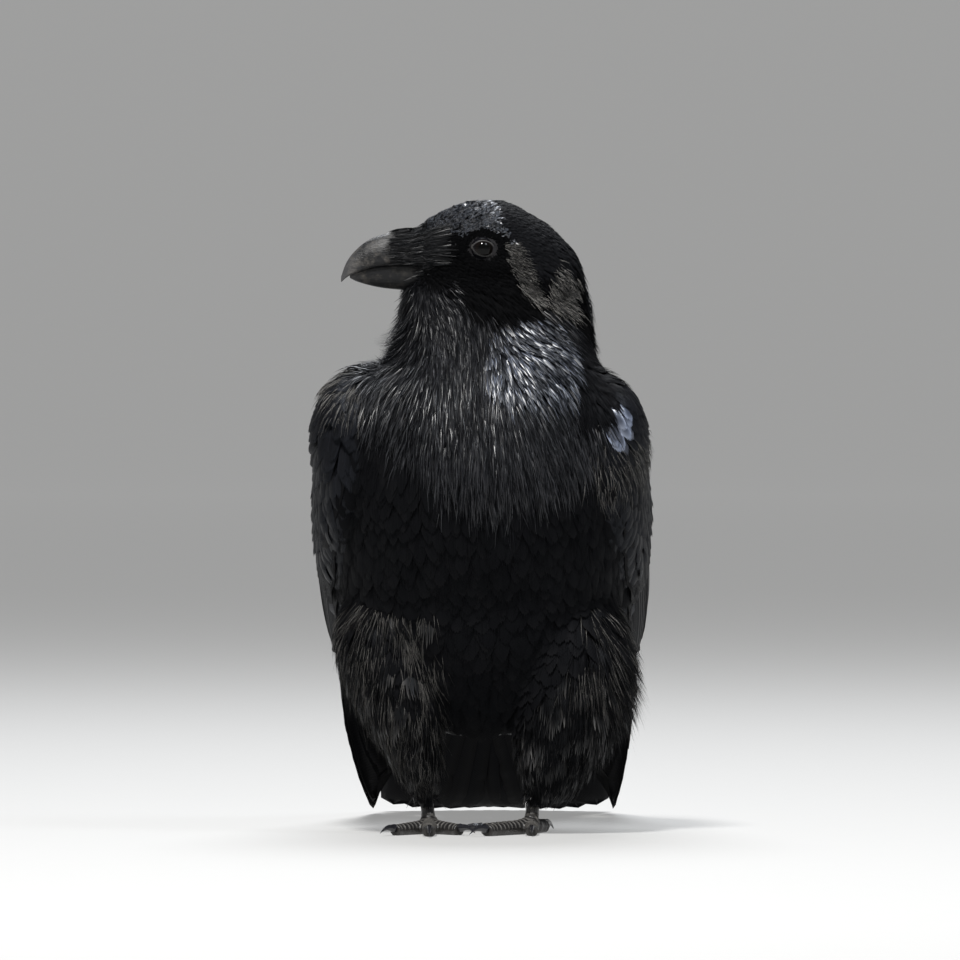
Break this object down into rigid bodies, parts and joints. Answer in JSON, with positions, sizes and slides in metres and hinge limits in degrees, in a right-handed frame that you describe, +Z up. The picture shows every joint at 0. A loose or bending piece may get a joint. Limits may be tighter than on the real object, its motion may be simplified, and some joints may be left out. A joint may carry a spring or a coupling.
{
  "type": "raven model",
  "caption": "Still life-size model of a black raven, standing on two feet with wings folded, head turned to its right and the tail resting on the floor.",
  "frame": {"origin": "on the floor the bird stands on, under the middle of the whole bird's box", "axes": "+Z up; the breast faces -Y and the tail runs to +Y; +X is the bird's own left side; the head is turned so that the bill points to -X"},
  "size_m": [0.2082, 0.4438, 0.3846],
  "materials": {
    "plumage": "black feathers with a blue-violet gloss",
    "horn": "charcoal horn of the bill and claws, satin",
    "scute": "dark scaly skin of the feet, dull",
    "iris": "very dark brown eye, wet gloss"
  },
  "bodies": {
    "root": {"trunk": "plumage", "neck": "plumage", "head": "plumage", "wing_left": "plumage", "wing_right": "plumage", "primaries_left": "plumage", "primaries_right": "plumage", "tail": "plumage", "thigh_left": "plumage", "thigh_right": "plumage", "bill_upper": "horn", "bill_lower": "horn", "claw_inner_left": "horn", "claw_inner_right": "horn", "claw_middle_left": "horn", "claw_middle_right": "horn", "claw_outer_left": "horn", "claw_outer_right": "horn", "claw_hind_left": "horn", "claw_hind_right": "horn", "foot_left": "scute", "foot_right": "scute", "eye_left": "iris", "eye_right": "iris"}
  },
  "joints": []
}
